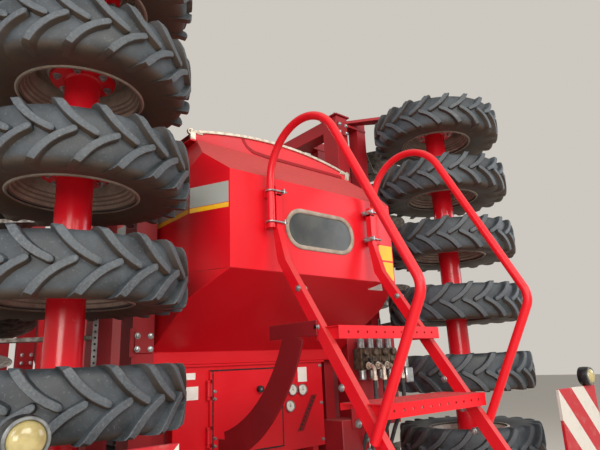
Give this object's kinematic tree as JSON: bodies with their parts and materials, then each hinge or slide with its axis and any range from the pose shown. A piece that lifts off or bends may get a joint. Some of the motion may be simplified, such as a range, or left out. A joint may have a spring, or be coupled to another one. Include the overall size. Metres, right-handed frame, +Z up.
{
  "type": "folding trailed seed drill",
  "caption": "Trailed seed drill with a hopper, front tyre roller, discs, seed coulters and two wings folded upright for the road, parked on its wheels and jack.",
  "frame": {"origin": "ground point under the middle of the folded machine's box", "axes": "+Z up, +Y towards the rear, away from the hitch, +X to the right in a view of the machine's front"},
  "size_m": [3, 6.7959, 3.2158],
  "materials": {
    "red_enamel": "glossy",
    "dark_red_enamel": "satin",
    "cover_sheet": "satin",
    "zinc_steel": "satin",
    "window_rubber": "matte",
    "grey_cast": "satin",
    "black_steel": "satin",
    "grey_plastic": "matte",
    "gauge_white": "glossy",
    "valve_metal": "satin",
    "board_white": "satin",
    "lamp_black": "matte",
    "lamp_red": "glossy",
    "disc_steel": "satin",
    "tyre": "matte",
    "rim_silver": "satin",
    "rod_chrome": "polished"
  },
  "bodies": {
    "frame": {"main_frame": "red_enamel", "hopper_posts": "red_enamel", "wing_pivots": "red_enamel", "fan_guard": "black_steel", "axle_supports": "red_enamel", "cylinder_brackets": "red_enamel", "drawbar": "red_enamel", "jack_tube": "red_enamel", "hopper_lower": "red_enamel", "hopper_upper": "red_enamel", "hopper_cover": "cover_sheet", "cover_bows": "zinc_steel", "hopper_window": "window_rubber", "hopper_funnel": "red_enamel", "metering_unit": "grey_cast", "fan_housing": "black_steel", "seed_tower": "grey_plastic", "control_cabinet": "red_enamel", "gauge_panel": "gauge_white", "ladder": "red_enamel", "handrails": "red_enamel", "ladder_brace": "dark_red_enamel", "valve_block": "valve_metal", "front_boards": "board_white", "front_lamps": "lamp_black", "rear_boards": "board_white", "rear_lamps": "lamp_red", "disc_gang_center": "disc_steel", "coulters_center": "disc_steel"},
    "hitch_head": {"hitch_head": "red_enamel"},
    "jack_leg": {"jack_leg": "zinc_steel"},
    "cabinet_door": {"cabinet_door": "red_enamel"},
    "fan_rotor": {"fan_rotor": "grey_cast"},
    "roller_center": {"tyres_center": "tyre", "axle_center": "red_enamel"},
    "wheels_left": {"tyres_rear_left": "tyre", "rims_rear_left": "rim_silver"},
    "wheels_right": {"tyres_rear_right": "tyre", "rims_rear_right": "rim_silver"},
    "wing_left": {"wing_frame_left": "red_enamel", "disc_gang_left": "disc_steel", "coulters_left": "disc_steel"},
    "wing_right": {"wing_frame_right": "red_enamel", "disc_gang_right": "disc_steel", "coulters_right": "disc_steel"},
    "roller_left": {"tyres_left": "tyre", "axle_left": "red_enamel"},
    "roller_right": {"tyres_right": "tyre", "axle_right": "red_enamel"},
    "cylinder_left": {"cylinder_left": "black_steel"},
    "rod_left": {"rod_left": "rod_chrome"},
    "cylinder_right": {"cylinder_right": "black_steel"},
    "rod_right": {"rod_right": "rod_chrome"}
  },
  "joints": [
    {"name": "hitch_yaw", "type": "hinge", "parent": "frame", "child": "hitch_head", "pos_m": [0, -3.11, 0.6], "axis": [0, 0, 1], "range_deg": [-60, 60]},
    {"name": "jack_slide", "type": "slide", "parent": "frame", "child": "jack_leg", "axis": [0, 0, 1], "range_m": [0, 0.32]},
    {"name": "cabinet_door", "type": "hinge", "parent": "frame", "child": "cabinet_door", "pos_m": [-0.303, -0.032, 1.375], "axis": [0, 0, -1], "range_deg": [0, 85]},
    {"name": "fan_spin", "type": "hinge", "parent": "frame", "child": "fan_rotor", "pos_m": [0, 2.14, 1.29], "axis": [1, 0, 0], "continuous": true},
    {"name": "roller_center_spin", "type": "hinge", "parent": "frame", "child": "roller_center", "pos_m": [0, -0.5, 0.49], "axis": [1, 0, 0], "continuous": true},
    {"name": "wheels_left_spin", "type": "hinge", "parent": "frame", "child": "wheels_left", "pos_m": [-0.375, 1.35, 0.39], "axis": [1, 0, 0], "continuous": true},
    {"name": "wheels_right_spin", "type": "hinge", "parent": "frame", "child": "wheels_right", "pos_m": [0.375, 1.35, 0.39], "axis": [1, 0, 0], "continuous": true},
    {"name": "wing_left_fold", "type": "hinge", "parent": "frame", "child": "wing_left", "pos_m": [-0.705, -0.03, 0.895], "axis": [0, -1, 0], "range_deg": [0, 90]},
    {"name": "wing_right_fold", "type": "hinge", "parent": "frame", "child": "wing_right", "pos_m": [0.705, -0.03, 0.895], "axis": [0, 1, 0], "range_deg": [0, 90]},
    {"name": "roller_left_spin", "type": "hinge", "parent": "wing_left", "child": "roller_left", "pos_m": [-1.11, -0.5, 2.065], "axis": [0, 0, 1], "continuous": true},
    {"name": "roller_right_spin", "type": "hinge", "parent": "wing_right", "child": "roller_right", "pos_m": [1.11, -0.5, 2.065], "axis": [0, 0, 1], "continuous": true},
    {"name": "cylinder_left_swing", "type": "hinge", "parent": "frame", "child": "cylinder_left", "pos_m": [0.1, 0.518, 1.08], "axis": [0, 1, 0], "range_deg": [0, 1.36]},
    {"name": "rod_left_slide", "type": "slide", "parent": "cylinder_left", "child": "rod_left", "axis": [-1, 0, -0.0083], "range_m": [0, 0.38029]},
    {"name": "cylinder_right_swing", "type": "hinge", "parent": "frame", "child": "cylinder_right", "pos_m": [-0.1, 0.422, 1.08], "axis": [0, -1, 0], "range_deg": [0, 1.36]},
    {"name": "rod_right_slide", "type": "slide", "parent": "cylinder_right", "child": "rod_right", "axis": [1, 0, -0.0083], "range_m": [0, 0.38029]}
  ],
  "couplings": [
    {"joint": "cylinder_left_swing", "follows": "wing_left_fold", "ratio": 0.014955},
    {"joint": "rod_left_slide", "follows": "wing_left_fold", "m_per_rad": 0.24197},
    {"joint": "cylinder_right_swing", "follows": "wing_right_fold", "ratio": 0.014955},
    {"joint": "rod_right_slide", "follows": "wing_right_fold", "m_per_rad": 0.24197}
  ]
}
